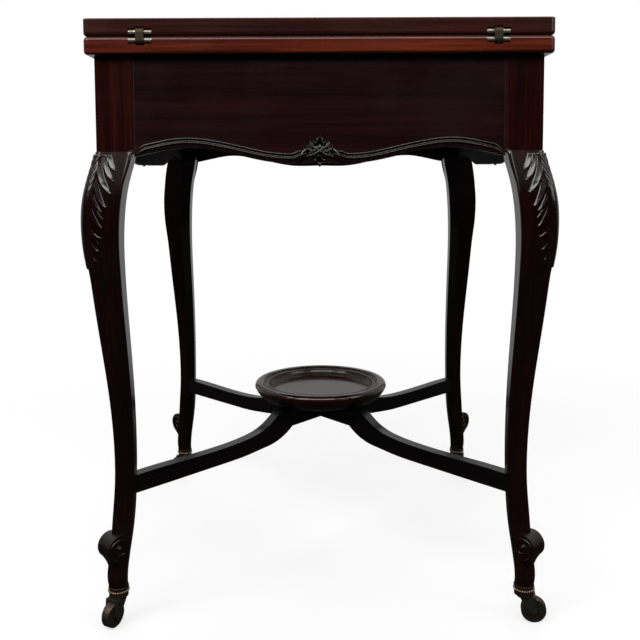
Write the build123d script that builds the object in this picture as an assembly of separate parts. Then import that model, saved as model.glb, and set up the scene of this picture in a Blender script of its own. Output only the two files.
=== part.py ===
from build123d import *
import math
import os

# A square card table. Four triangular leaves fold over its playing surface and meet
# at the centre. The top turns by 45 degrees, the leaves swing out on link hinges, and
# each lies over a corner post of the frame.
# Lengths are millimetres. The castors stand on z = 0, the centre of the table is
# x = y = 0, the front faces -y and the right-hand side faces +x.

# Top
table_width = 550.6
table_height = 740.0
leaf_thickness = 20.6
board_thickness = 20.6
top_corner_radius = 7.0
leaf_edge_radius = 1.4
board_edge_radius = 4.2
leaf_joint_gap = 0.3
leaf_mitre_gap = 0.4
board_lift = 0.3
overrun = 5.0

# Baize let into the playing surface
baize_thickness = 1.0
baize_border = 33.0
baize_margin = 0.3
baize_sink = 0.15

# Link hinges
hinge_corner_distance = 66.8
hinge_pin_inset = 4.35
hinge_pin_radius = 1.6
hinge_link_width = 9.4
hinge_link_end_radius = 5.9
hinge_barrel_length = 8.6
hinge_plate_reach = 24.0
hinge_plate_thickness = 1.6
hinge_gap = 0.3
hinge_fit = 0.05

# Frame
top_overhang = 10.7
post_width = 44.65
post_depth = 112.3
apron_thickness = 20.0
apron_inset = 0.8
apron_depth = 126.4
tenon_thickness = 9.0
tenon_length = 14.0
tenon_shoulder = 12.0
bead_height = 12.0
bead_proud = 3.0
bead_round = 1.2
flower_width = 38.0
flower_height = 35.5
flower_proud = 4.5
flower_overhang = 1.0
flower_gap = 0.3
block_leg = 42.0
block_height = 55.0
block_drop = 12.0

# Legs
knee_reach = 16.5
scroll_radius = 16.4
scroll_length = 25.5
scroll_height = 98.7
scroll_centre_inset = 8.2
spigot_radius = 7.6
spigot_length = 9.0

# Stretcher and dish
stretcher_height = 160.7
rail_width = 15.0
rail_depth = 22.3
rail_leg_inset = 19.6
rail_rise = 27.7
hub_depth = 25.4
dish_radius = 100.4
dish_height = 28.9
dish_floor_depth = 12.0
dish_screw_spread = 34.0

# Centre pivot
bearer_width = 120.0
bearer_thickness = 24.0
cleat_width = 20.0
cleat_height = 22.0
pivot_radius = 6.0
pivot_fit = 0.05
bush_wall = 3.0
pivot_plate_radius = 38.0
pivot_plate_thickness = 4.0
pivot_washer_radius = 16.0
pivot_washer_thickness = 2.0
pivot_nut_radius = 11.0
pivot_nut_height = 9.0
pivot_bolt_tail = 2.5
pivot_screw_circle = 27.0
stop_peg_radius = 4.0
stop_peg_circle = 47.0
stop_peg_length = 16.0
stop_peg_gap = 0.3
swivel_angle = 45.0

# Screws
screw_radius = 1.9
screw_head_radius = 3.8
screw_head_height = 2.4
screw_length = 16.0
screw_grip_share = 0.5
fastener_gap = 0.05

# Castors
castor_cup_radius = 12.0
castor_cup_base = 4.0
castor_cup_rim = 0.7
castor_stem_radius = 4.0
castor_stem_length = 24.0
castor_fit = 0.05
castor_gap = 0.3
castor_wheel_radius = 15.5
castor_wheel_width = 11.5
castor_wheel_round = 1.6
castor_trail = 12.0
castor_side_gap = 0.4
castor_cheek = 2.6
castor_axle_radius = 2.2
castor_axle_head = 1.0
castor_collar_radius = 8.5
castor_crown_gap = 0.5
castor_crown_thickness = 3.0

# Worked out from the sizes above
half_top = table_width / 2
half_frame = half_top - top_overhang
post_inner = half_frame - post_width
board_top = table_height - leaf_thickness - leaf_joint_gap
board_bottom = board_top - board_thickness
frame_top = board_bottom - board_lift
joint_height = board_top + leaf_joint_gap / 2
pin_drop = leaf_joint_gap / 2 + hinge_pin_inset
hinge_offset = half_top - hinge_corner_distance
knee_top_height = frame_top - post_depth
apron_face = half_frame - apron_inset
apron_back = apron_face - apron_thickness
bearer_underside = frame_top - bearer_thickness
crown_low = castor_wheel_radius * 2 + castor_crown_gap
cup_bottom = crown_low + castor_crown_thickness + castor_gap
leg_foot_height = cup_bottom + castor_cup_base + spigot_length
hub_underside = stretcher_height + rail_rise
hub_height = hub_underside + hub_depth

corner_names = ("back_right", "back_left", "front_left", "front_right")
side_names = ("back", "left", "front", "right")
castor_headings = {"back_right": 60.0, "back_left": 150.0, "front_left": 244.0, "front_right": 350.0}

# Leg sections from the knee to the foot. Each row is the height as a share of the leg
# between foot and knee top, how far the outer face stands past the post as a share of
# the knee's reach, the side of the section as a share of the post's width, and how far
# its corners go from square towards round.
leg_shares = (
    (1.000, 0.145, 0.974, 0.00),
    (0.967, 0.394, 1.008, 0.00),
    (0.933, 0.667, 1.012, 0.00),
    (0.889, 0.921, 1.024, 0.00),
    (0.836, 1.000, 1.003, 0.00),
    (0.785, 0.912, 0.953, 0.00),
    (0.729, 0.673, 0.871, 0.00),
    (0.675, 0.485, 0.820, 0.00),
    (0.565, 0.100, 0.737, 0.00),
    (0.454, -0.282, 0.647, 0.00),
    (0.342, -0.521, 0.580, 0.00),
    (0.230, -0.515, 0.560, 0.00),
    (0.173, -0.382, 0.573, 0.00),
    (0.117, -0.236, 0.555, 0.10),
    (0.055, -0.010, 0.533, 0.50),
    (0.000, 0.000, 0.500, 1.00),
)
corner_shares = (0.20, 0.40)
arris_shares = (0.05, 0.38)
chamfer_share = 0.34

# The scroll's fall into the leg, from its middle down. Each row is the drop and the
# reach past the scroll's centre as shares of its radius, and the width as a share of
# its length.
scroll_fall_shares = (
    (0.00, 0.95, 0.965),
    (0.50, 0.84, 0.960),
    (0.95, 0.54, 0.900),
    (1.60, 0.31, 0.620),
    (2.30, 0.20, 0.270),
)
scroll_root_share = 0.60

# The castors stand under the middle of the foot.
castor_place = half_frame + knee_reach * leg_shares[-1][1] - post_width * leg_shares[-1][2] / 2

# Lower edge of an apron, from the post to the centre: share of the half length, and
# share of the apron's depth.
apron_edge_shares = (
    (1.00, 0.936),
    (0.88, 0.890),
    (0.73, 0.850),
    (0.57, 0.877),
    (0.43, 0.928),
    (0.31, 0.975),
    (0.18, 1.000),
    (0.00, 0.996),
)

# Side view of a stretcher rail, from the hub to the leg: share of the reach, and share
# of the rise from the leg to the hub.
rail_under_shares = (
    (0.193, 0.926), (0.256, 0.463), (0.307, 0.278), (0.357, 0.204), (0.430, 0.111),
    (0.585, 0.048), (0.848, 0.011), (1.000, 0.000),
)
rail_over_shares = (
    (1.000, 0.000), (0.660, 0.010), (0.503, 0.050), (0.430, 0.123), (0.371, 0.250),
    (0.322, 0.467), (0.289, 0.700), (0.263, 0.900), (0.248, 1.000),
)

# Half section of the dish: share of the radius, share of the height over its seat.
dish_foot_share = 0.61
dish_under_shares = ((0.73, 0.035), (0.83, 0.125), (0.90, 0.260), (0.96, 0.490), (1.00, 0.740))
dish_rim_shares = ((1.00, 0.740), (0.985, 0.900), (0.91, 1.000))
dish_inner_shares = ((0.865, 0.93), (0.85, 0.86), (0.82, 0.90), (0.79, 0.84), (0.775, 0.74))
dish_floor_share = 0.74

# Petals of the carved flower: angle, length as a share of its height, width as a share
# of its width.
flower_petals = (
    (90.0, 0.56, 0.26),
    (38.0, 0.50, 0.24),
    (142.0, 0.50, 0.24),
    (-12.0, 0.54, 0.22),
    (192.0, 0.54, 0.22),
    (270.0, 0.44, 0.30),
    (-48.0, 0.40, 0.20),
    (228.0, 0.40, 0.20),
)
flower_boss_share = 0.16


def save(shape, name):
    """Write one sub-part to its own file."""
    export_step(shape, f"parts/{name}.step")


def about_z(shape, turns):
    """Turn a shape about the table's centre line by quarter turns."""
    return Rot(0, 0, 90 * turns) * shape


def upright(radius, low, high, x=0, y=0):
    """A vertical cylinder between two heights."""
    return Pos(x, y, (low + high) / 2) * Cylinder(radius, high - low)


def block(x_range, y_range, z_range):
    """A box given by its limits along each axis."""
    size = [limits[1] - limits[0] for limits in (x_range, y_range, z_range)]
    middle = [(limits[1] + limits[0]) / 2 for limits in (x_range, y_range, z_range)]
    return Pos(*middle) * Box(*size)


def screw(growth=0.0):
    """A countersunk screw pointing up, its head's flat face at z = 0."""
    head = Pos(0, 0, screw_head_height / 2) * Cone(
        screw_head_radius + growth, screw_radius + growth, screw_head_height
    )
    return head + upright(screw_radius + growth, 0, screw_length + growth)


def between(limits, share):
    """A value part of the way from one limit to the other."""
    return limits[0] + (limits[1] - limits[0]) * share


def leg_section(height, outer, side, roundness):
    """One section of the leg at +x +y, as a face across the leg."""
    inner = outer - side
    corner = side * between(corner_shares, roundness)
    arris = side * between(arris_shares, roundness)
    chamfer = side * chamfer_share
    edges = [
        Line((inner + chamfer, inner), (outer - arris, inner)),
        CenterArc((outer - arris, inner + arris), arris, -90, 90),
        Line((outer, inner + arris), (outer, outer - corner)),
        CenterArc((outer - corner, outer - corner), corner, 0, 90),
        Line((outer - corner, outer), (inner + arris, outer)),
        CenterArc((inner + arris, outer - arris), arris, 90, 90),
        Line((inner, outer - arris), (inner, inner + chamfer)),
        Line((inner, inner + chamfer), (inner + chamfer, inner)),
    ]
    return Pos(0, 0, height) * make_face(Wire(edges))


def make_leg():
    """The leg at +x +y: post, cabriole shaft, foot scroll and castor spigot."""
    sections = []
    for height_share, reach_share, side_share, roundness in leg_shares:
        height = between((leg_foot_height, knee_top_height), height_share)
        outer = half_frame + reach_share * knee_reach
        sections.append(leg_section(height, outer, side_share * post_width, roundness))
    shaft = loft(sections[::-1])
    post = block((post_inner, half_frame), (post_inner, half_frame), (knee_top_height, frame_top))
    spigot = upright(
        spigot_radius, leg_foot_height - spigot_length, leg_foot_height + overrun,
        castor_place, castor_place,
    )
    leg = shaft + post + make_scroll() + spigot
    tenon = make_tenon()
    leg -= tenon
    leg -= mirror(tenon, Plane((0, 0, 0), z_dir=(1, -1, 0)))
    leg -= Rot(0, 0, 45) * make_rail_blank()
    stem_top = cup_bottom + castor_stem_length
    return leg - upright(
        castor_stem_radius + castor_gap, cup_bottom, stem_top + castor_gap, castor_place, castor_place
    )


def make_scroll():
    """The scroll on the outer corner of the foot at +x +y, with its fall into the leg."""
    centre = math.sqrt(2) * (half_frame - scroll_centre_inset)
    roll = Pos(centre, 0, scroll_height) * Rot(90, 0, 0) * Cylinder(scroll_radius, scroll_length)
    root = centre - scroll_root_share * scroll_radius
    roll &= block(
        (root, centre + scroll_radius + overrun),
        (-scroll_length, scroll_length),
        (scroll_height - scroll_radius - overrun, scroll_height + scroll_radius + overrun),
    )
    sections = []
    for drop_share, reach_share, width_share in scroll_fall_shares:
        outer = centre + reach_share * scroll_radius
        height = scroll_height - drop_share * scroll_radius
        outline = Rectangle(outer - root, width_share * scroll_length)
        sections.append(Pos((outer + root) / 2, 0, height) * outline)
    return Rot(0, 0, 45) * (roll + loft(sections[::-1]))


def make_tenon():
    """The tenon at the +x end of the back apron."""
    middle = (apron_face + apron_back) / 2
    low = frame_top - apron_depth * apron_edge_shares[0][1] + tenon_shoulder
    return block(
        (post_inner, post_inner + tenon_length),
        (middle - tenon_thickness / 2, middle + tenon_thickness / 2),
        (low, frame_top - tenon_shoulder),
    )


def apron_edge(lift):
    """The shaped lower edge of an apron, raised by a given height."""
    right = [
        (share * post_inner, frame_top - depth * apron_depth + lift)
        for share, depth in apron_edge_shares
    ]
    left = [(-x, z) for x, z in right[-2::-1]]
    return Spline(*(right + left))


def apron_sheet(upper, lower, front, thickness):
    """A solid between two edges of equal length, in the back apron's plane."""
    sides = [Line(upper @ 1, lower @ 1), Line(lower @ 0, upper @ 0)]
    face = make_face(Wire([upper, sides[0], lower, sides[1]]))
    plane = Plane((0, front, 0), x_dir=(1, 0, 0), z_dir=(0, -1, 0))
    return extrude(plane * face, thickness)


def make_apron():
    """The back apron with its tenons."""
    top_edge = Line((post_inner, frame_top), (-post_inner, frame_top))
    apron = apron_sheet(top_edge, apron_edge(0), apron_face, apron_thickness)
    tenon = make_tenon()
    return apron + tenon + mirror(tenon, Plane.YZ)


def make_bead():
    """Two lengths of bead along the back apron's lower edge, one each side of the flower."""
    bead = apron_sheet(apron_edge(bead_height), apron_edge(0), apron_face + bead_proud, bead_proud)
    reach = flower_width / 2 + flower_gap
    gap = block(
        (-reach, reach),
        (apron_face - overrun, apron_face + bead_proud + overrun),
        (0, table_height),
    )
    bead -= gap
    front_edges = bead.edges().filter_by(
        lambda edge: abs(edge.center().Y - apron_face - bead_proud) < bead_round / 10
        and edge.length > flower_width
    )
    return fillet(front_edges, bead_round)


def make_flower():
    """The flower carved at the middle of the back apron's lower edge."""
    low = frame_top - apron_depth - flower_overhang
    heart = low + flower_height * flower_petals[5][1]
    plane = Plane((0, apron_face + flower_proud, heart), x_dir=(1, 0, 0), z_dir=(0, -1, 0))
    outline = Circle(flower_height * flower_boss_share)
    for angle, length_share, width_share in flower_petals:
        length = flower_height * length_share
        petal = Ellipse(length / 2, flower_width * width_share / 2)
        outline += Rot(0, 0, angle) * Pos(length / 2, 0) * petal
    flower = extrude(plane * outline, flower_proud)
    boss = Sphere(flower_height * flower_boss_share)
    front_half = block(
        (-flower_width, flower_width),
        (apron_face + flower_proud / 2, apron_face + flower_height),
        (low, low + flower_height),
    )
    return flower + (Pos(0, apron_face + flower_proud / 2, heart) * boss & front_half)


def make_corner_block():
    """The glue block behind the post at +x +y."""
    reach = post_inner - block_leg
    outline = Polyline(
        (reach, apron_back), (post_inner, apron_back), (post_inner, post_inner),
        (apron_back, post_inner), (apron_back, reach), close=True,
    )
    low = frame_top - block_drop - block_height
    return extrude(Pos(0, 0, low) * make_face(outline), block_height)


def rail_point(shares, base, top):
    """A point of the rail's side view from its shares."""
    reach = math.sqrt(2) * (half_frame - rail_leg_inset)
    return (shares[0] * reach, base + shares[1] * (top - base))


def make_rail_blank():
    """A whole stretcher rail along x, before it is halved at the crossing."""
    over_base = stretcher_height + rail_depth
    under = [rail_point(shares, stretcher_height, hub_underside) for shares in rail_under_shares]
    over = [rail_point(shares, over_base, hub_height) for shares in rail_over_shares]
    edges = [
        Line((0, hub_underside), under[0]),
        Spline(*under),
        Line(under[-1], over[0]),
        Spline(*over),
        Line(over[-1], (0, hub_height)),
    ]
    half = make_face(Wire(edges + [Line((0, hub_height), (0, hub_underside))]))
    plane = Plane((0, rail_width / 2, 0), x_dir=(1, 0, 0), z_dir=(0, -1, 0))
    arm = extrude(plane * half, rail_width)
    return arm + mirror(arm, Plane.YZ)


def make_rail(keep_top):
    """A rail with the half of the crossing that it keeps."""
    rail = make_rail_blank()
    middle = (hub_height + hub_underside) / 2
    cross = (-rail_width / 2, rail_width / 2)
    if keep_top:
        return rail - block(cross, (-rail_width, rail_width), (0, middle))
    return rail - block(cross, (-rail_width, rail_width), (middle, hub_height + overrun))


def make_dish():
    """The turned dish on the crossing of the stretcher."""
    def place(shares):
        return (shares[0] * dish_radius, hub_height + shares[1] * dish_height)

    under = [place(shares) for shares in dish_under_shares]
    rim = [place(shares) for shares in dish_rim_shares]
    inner = [place(shares) for shares in dish_inner_shares]
    foot = (dish_foot_share * dish_radius, hub_height)
    floor = (dish_floor_share * dish_radius, hub_height + dish_height - dish_floor_depth)
    middle = (0, hub_height + dish_height - dish_floor_depth)
    edges = [
        Line((0, hub_height), foot),
        Spline(foot, *under),
        Spline(*rim),
        *Polyline(rim[-1], *inner, floor, middle).edges(),
        Line(middle, (0, hub_height)),
    ]
    plane = Plane((0, 0, 0), x_dir=(1, 0, 0), z_dir=(0, -1, 0))
    dish = revolve(plane * make_face(Wire(edges)), Axis.Z)
    for hole in dish_screw_places():
        dish -= hole * screw(fastener_gap)
    return dish


def dish_screw_places():
    """Where the two screws rise through one rail into the dish."""
    head = hub_height - screw_length * screw_grip_share
    return [
        Rot(0, 0, 45) * Pos(side * dish_screw_spread, 0, head)
        for side in (-1, 1)
    ]


def square_plate(low, high, low_radius, high_radius):
    """A square plate of the table's width with rounded corners and edges."""
    outline = RectangleRounded(table_width, table_width, top_corner_radius)
    plate = extrude(Pos(0, 0, low) * outline, high - low)
    plate = fillet(plate.faces().sort_by(Axis.Z)[0].edges(), low_radius)
    return fillet(plate.faces().sort_by(Axis.Z)[-1].edges(), high_radius)


def leaf_wedge(trim):
    """The right-hand quarter of the top between the diagonals, trimmed along them."""
    shift = trim * math.sqrt(2)
    reach = table_width
    outline = Polyline((shift, 0), (reach, reach - shift), (reach, shift - reach), close=True)
    return extrude(Pos(0, 0, board_bottom) * make_face(outline), table_height)


def hinge_half_cut():
    """What is cut from the board's right-hand edge for one hinge, at its own middle."""
    pin_x = half_top - hinge_pin_inset
    pin_z = joint_height - pin_drop
    swing = hinge_link_end_radius + hinge_gap
    half_width = hinge_link_width / 2 + hinge_gap + hinge_barrel_length + hinge_fit
    link_half = hinge_link_width / 2 + hinge_gap
    top = board_top + overrun
    outside = half_top + overrun
    slot = block((pin_x - swing, outside), (-link_half, link_half), (pin_z - swing, top))
    bed = block((pin_x, outside), (-half_width, half_width), (pin_z - hinge_pin_inset, top))
    bed += block(
        (pin_x - hinge_pin_inset, outside), (-half_width, half_width), (pin_z, top)
    )
    bed += Pos(pin_x, 0, pin_z) * Rot(90, 0, 0) * Cylinder(hinge_pin_inset, 2 * half_width)
    plate = block(
        (half_top - hinge_plate_reach - hinge_fit, outside),
        (-half_width, half_width),
        (board_top - hinge_plate_thickness - hinge_fit, top),
    )
    return slot + bed + plate + hinge_screws(fastener_gap)


def hinge_screws(growth):
    """The two screws that hold a hinge plate to the board, pointing down."""
    along = hinge_link_width / 2 + hinge_gap
    place_x = half_top - hinge_plate_reach + screw_head_radius + hinge_gap * 2
    result = None
    for side in (-1, 1):
        one = Pos(place_x, side * along, board_top - hinge_fit) * Rot(180, 0, 0) * screw(growth)
        result = one if result is None else result + one
    return result


def make_hinge_half():
    """Plate, barrels, pin and screws of one hinge on the board's right-hand edge."""
    pin_x = half_top - hinge_pin_inset
    pin_z = joint_height - pin_drop
    half_width = hinge_link_width / 2 + hinge_gap + hinge_barrel_length
    link_half = hinge_link_width / 2 + hinge_gap
    barrel_radius = hinge_pin_inset - hinge_fit * 2
    swing = hinge_link_end_radius + hinge_gap
    barrel = Pos(pin_x, 0, pin_z) * Rot(90, 0, 0) * Cylinder(barrel_radius, 2 * half_width)
    plate = block(
        (half_top - hinge_plate_reach, pin_x),
        (-half_width, half_width),
        (board_top - hinge_plate_thickness, board_top - hinge_fit * 2),
    )
    gap = block(
        (pin_x - swing, half_top + overrun),
        (-link_half, link_half),
        (pin_z - swing, board_top + overrun),
    )
    pin = Pos(pin_x, 0, pin_z) * Rot(90, 0, 0) * Cylinder(hinge_pin_radius, 2 * half_width)
    return (barrel + plate) - gap + pin + hinge_screws(0)


def make_hinge_link():
    """The link that joins the board's pin to the leaf's pin, on the right-hand edge."""
    pin_x = half_top - hinge_pin_inset
    link = None
    for height in (joint_height - pin_drop, joint_height + pin_drop):
        end = Pos(pin_x, 0, height) * Rot(90, 0, 0) * Cylinder(hinge_link_end_radius, hinge_link_width)
        link = end if link is None else link + end
    link += block(
        (pin_x - hinge_link_end_radius, pin_x + hinge_link_end_radius),
        (-hinge_link_width / 2, hinge_link_width / 2),
        (joint_height - pin_drop, joint_height + pin_drop),
    )
    inner_side = pin_x - hinge_pin_inset + hinge_fit * 2
    link -= block(
        (pin_x - hinge_link_end_radius - overrun, inner_side),
        (-hinge_link_width, hinge_link_width),
        (joint_height - table_width, table_height + overrun),
    )
    for height in (joint_height - pin_drop, joint_height + pin_drop):
        link -= Pos(pin_x, 0, height) * Rot(90, 0, 0) * Cylinder(
            hinge_pin_radius + hinge_fit, 2 * hinge_link_width
        )
    return link


def both_hinges(shape):
    """The same shape at the two hinges of the right-hand edge."""
    return [Pos(0, side * hinge_offset, 0) * shape for side in (-1, 1)]


def to_leaf(shape):
    """Mirror a shape of the board into the leaf that lies on it."""
    return mirror(shape, Plane((0, 0, joint_height), z_dir=(0, 0, 1)))


def board_baize(growth):
    """The square of baize, or the recess that it lies in."""
    half = half_top - baize_border + growth
    low = board_top - baize_sink - baize_thickness
    high = board_top - baize_sink if growth == 0 else board_top + overrun
    return block((-half, half), (-half, half), (low, high))


def leaf_baize(growth):
    """The triangle of baize under the right-hand leaf, or its recess."""
    outer = half_top - baize_border + growth
    shift = (baize_border - growth) * math.sqrt(2)
    outline = Polyline((shift, 0), (outer, outer - shift), (outer, shift - outer), close=True)
    surface = board_top + leaf_joint_gap
    low = surface + baize_sink if growth == 0 else surface - overrun
    high = surface + baize_sink + baize_thickness
    return extrude(Pos(0, 0, low) * make_face(outline), high - low)


def make_board():
    """The square board that turns on the frame."""
    board = square_plate(board_bottom, board_top, board_edge_radius, hinge_pin_inset)
    for turns in range(4):
        for cut in both_hinges(hinge_half_cut()):
            board -= about_z(cut, turns)
    board -= board_baize(baize_margin)
    board -= upright(
        pivot_plate_radius + fastener_gap, board_bottom - overrun, board_bottom + pivot_plate_thickness
    )
    for place in pivot_screw_places():
        board -= place * screw(fastener_gap)
    peg_top = board_bottom + stop_peg_length / 2
    return board - upright(
        stop_peg_radius + fastener_gap, board_bottom - overrun, peg_top, stop_peg_circle
    )


def make_leaf():
    """The right-hand leaf, closed over the board."""
    low = board_top + leaf_joint_gap
    leaf = square_plate(low, table_height, hinge_pin_inset, leaf_edge_radius)
    leaf &= leaf_wedge(leaf_mitre_gap / 2)
    for cut in both_hinges(hinge_half_cut()):
        leaf -= to_leaf(cut)
    return leaf - leaf_baize(baize_margin)


def pivot_screw_places():
    """The four screws up through the pivot plate into the board."""
    return [
        Rot(0, 0, 45 + 90 * turn) * Pos(pivot_screw_circle, 0, board_bottom)
        for turn in range(4)
    ]


def make_bearer():
    """The bearer from front to back, with the bush's bore and the stop peg's slot."""
    half = bearer_width / 2
    bearer = block((-half, half), (-apron_back, apron_back), (bearer_underside, frame_top))
    bearer -= upright(pivot_radius + bush_wall, 0, table_height)
    slot_half = stop_peg_radius + stop_peg_gap
    end_angle = math.degrees(stop_peg_gap / stop_peg_circle)
    middle_arc = CenterArc((0, 0), stop_peg_circle, -end_angle, swivel_angle + 2 * end_angle)
    floor = frame_top - stop_peg_length / 2 - hinge_gap
    outer_arc = CenterArc((0, 0), stop_peg_circle + slot_half, -end_angle, swivel_angle + 2 * end_angle)
    inner_arc = CenterArc((0, 0), stop_peg_circle - slot_half, -end_angle, swivel_angle + 2 * end_angle)
    sides = [Line(outer_arc @ 1, inner_arc @ 1), Line(inner_arc @ 0, outer_arc @ 0)]
    slot = extrude(
        Pos(0, 0, floor) * make_face(Wire([outer_arc, sides[0], inner_arc, sides[1]])),
        bearer_thickness,
    )
    for end in (middle_arc @ 0, middle_arc @ 1):
        slot += upright(stop_peg_radius, floor, floor + bearer_thickness, end.X, end.Y)
    bearer -= slot
    for place in cleat_screw_places():
        bearer -= place * screw(fastener_gap)
    return bearer


def cleat_screw_places():
    """The four screws up through the cleats into the bearer."""
    head = bearer_underside - screw_length * screw_grip_share
    return [
        Pos(x * bearer_width / 4, y * (apron_back - cleat_width / 2), head)
        for x in (-1, 1)
        for y in (-1, 1)
    ]


def make_cleats():
    """The two cleats glued to the aprons under the bearer's ends."""
    half = bearer_width / 2
    cleats = []
    for side in (-1, 1):
        ends = sorted((side * apron_back, side * (apron_back - cleat_width)))
        cleat = block((-half, half), ends, (bearer_underside - cleat_height, bearer_underside))
        for place in cleat_screw_places():
            cleat -= place * screw(fastener_gap)
            head_path = place * upright(screw_head_radius + fastener_gap, -cleat_height, 0)
            cleat -= head_path
        cleats.append(cleat)
    return cleats


def make_castor_cup():
    """The brass cup on the foot of the +x +y leg."""
    low = cup_bottom
    cup = upright(castor_cup_radius, low, leg_foot_height)
    rim = Torus(castor_cup_radius - castor_cup_rim, castor_cup_rim * 2)
    cup += Pos(0, 0, leg_foot_height - castor_cup_rim * 2) * rim
    cup -= upright(spigot_radius + fastener_gap, low + castor_cup_base, leg_foot_height + overrun)
    cup -= upright(castor_stem_radius + castor_fit, low - overrun, leg_foot_height)
    return Pos(castor_place, castor_place, 0) * cup


def make_castor_fork():
    """Stem, collar, cheeks and axle, with the wheel's axle along y and trailing to +x."""
    collar_top = cup_bottom - castor_gap
    stem = upright(castor_stem_radius, crown_low, cup_bottom + castor_stem_length)
    collar = upright(castor_collar_radius, crown_low, collar_top)
    inside = castor_wheel_width / 2 + castor_side_gap
    outside = inside + castor_cheek
    hub = castor_axle_radius * 2
    crown = block((-hub, castor_trail + hub / 2), (-outside, outside), (crown_low, collar_top))
    outline = Polyline(
        (-hub, collar_top), (castor_trail + hub / 2, collar_top), (castor_trail + hub, castor_wheel_radius),
        (castor_trail, castor_wheel_radius - hub), (castor_trail - hub, castor_wheel_radius - hub / 2),
        (-hub, crown_low), close=True,
    )
    plane = Plane((0, outside, 0), x_dir=(1, 0, 0), z_dir=(0, -1, 0))
    cheeks = extrude(plane * make_face(outline), 2 * outside)
    cheeks += Pos(castor_trail, 0, castor_wheel_radius) * Rot(90, 0, 0) * Cylinder(hub, 2 * outside)
    cheeks -= block(
        (-table_width, table_width), (-inside, inside), (-overrun, crown_low)
    )
    axle = Pos(castor_trail, 0, castor_wheel_radius) * Rot(90, 0, 0) * Cylinder(
        castor_axle_radius, 2 * (outside + castor_axle_head)
    )
    return stem + collar + crown + cheeks + axle


def make_castor_wheel():
    """The wheel, on its axle along y."""
    wheel = fillet(Cylinder(castor_wheel_radius, castor_wheel_width).edges(), castor_wheel_round)
    wheel -= Cylinder(castor_axle_radius + castor_fit, castor_wheel_width * 2)
    return Pos(castor_trail, 0, castor_wheel_radius) * Rot(90, 0, 0) * wheel


os.makedirs("parts", exist_ok=True)

leg = make_leg()
cup = make_castor_cup()
fork = make_castor_fork()
wheel = make_castor_wheel()
for turns, name in enumerate(corner_names):
    save(about_z(leg, turns), f"leg_{name}")
    centre = Vector(castor_place, castor_place).rotate(Axis.Z, 90 * turns)
    heading = Pos(centre.X, centre.Y, 0) * Rot(0, 0, castor_headings[name])
    save(heading * fork, f"castor_fork_{name}")
    save(heading * wheel, f"castor_wheel_{name}")
save(Compound([about_z(cup, turns) for turns in range(4)]), "castor_cups")
save(Compound([about_z(make_corner_block(), turns) for turns in range(4)]), "corner_blocks")

apron = make_apron()
bead = make_bead()
flower = make_flower()
leaf = make_leaf()
for turns, name in enumerate(side_names):
    save(about_z(apron, turns), f"apron_{name}")
    save(about_z(bead, turns), f"bead_{name}")
    save(about_z(flower, turns), f"flower_{name}")
    save(about_z(leaf, turns + 1), f"leaf_{name}")
    save(about_z(leaf_baize(0), turns + 1), f"leaf_baize_{name}")
    halves = [about_z(to_leaf(half), turns + 1) for half in both_hinges(make_hinge_half())]
    save(Compound(halves), f"leaf_hinge_plates_{name}")
    links = [about_z(link, turns + 1) for link in both_hinges(make_hinge_link())]
    save(Compound(links), f"hinge_links_{name}")

rail_under_dish = Rot(0, 0, 45) * make_rail(True)
for place in dish_screw_places():
    rail_under_dish -= place * screw(fastener_gap)
    rail_under_dish -= place * upright(screw_head_radius + fastener_gap, -hub_underside, 0)
save(rail_under_dish, "stretcher_rail_a")
save(Rot(0, 0, -45) * make_rail(False), "stretcher_rail_b")
save(make_dish(), "dish")
save(Compound([place * screw() for place in dish_screw_places()]), "dish_screws")

save(make_board(), "top_board")
save(board_baize(0), "playing_baize")
board_halves = [
    about_z(half, turns) for turns in range(4) for half in both_hinges(make_hinge_half())
]
save(Compound(board_halves), "board_hinge_plates")

save(make_bearer(), "pivot_bearer")
save(Compound(make_cleats()), "bearer_cleats")
save(Compound([place * screw() for place in cleat_screw_places()]), "cleat_screws")
bush = upright(pivot_radius + bush_wall - fastener_gap, bearer_underside, frame_top)
save(bush - upright(pivot_radius + pivot_fit, 0, table_height), "pivot_bush")

plate_top = board_bottom + pivot_plate_thickness
nut_top = bearer_underside - board_lift - pivot_washer_thickness
nut_bottom = nut_top - pivot_nut_height
pivot_hole = upright(pivot_radius + fastener_gap, 0, table_height)
plate = upright(pivot_plate_radius, board_bottom, plate_top) - pivot_hole
for place in pivot_screw_places():
    plate -= place * screw(fastener_gap)
save(plate, "pivot_plate")
save(Compound([place * screw() for place in pivot_screw_places()]), "pivot_screws")
save(upright(pivot_radius, nut_bottom - pivot_bolt_tail, plate_top), "pivot_bolt")
washer = upright(pivot_washer_radius, nut_top, nut_top + pivot_washer_thickness)
save(washer - pivot_hole, "pivot_washer")
nut = extrude(Pos(0, 0, nut_bottom) * RegularPolygon(pivot_nut_radius, 6), pivot_nut_height)
save(nut - pivot_hole, "pivot_nut")
peg = upright(
    stop_peg_radius, board_bottom - stop_peg_length / 2, board_bottom + stop_peg_length / 2, stop_peg_circle
)
save(peg, "stop_peg")
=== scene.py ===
import math

import bmesh
import bpy
import numpy as np
from mathutils import Matrix, Vector
from mathutils.bvhtree import BVHTree


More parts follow.
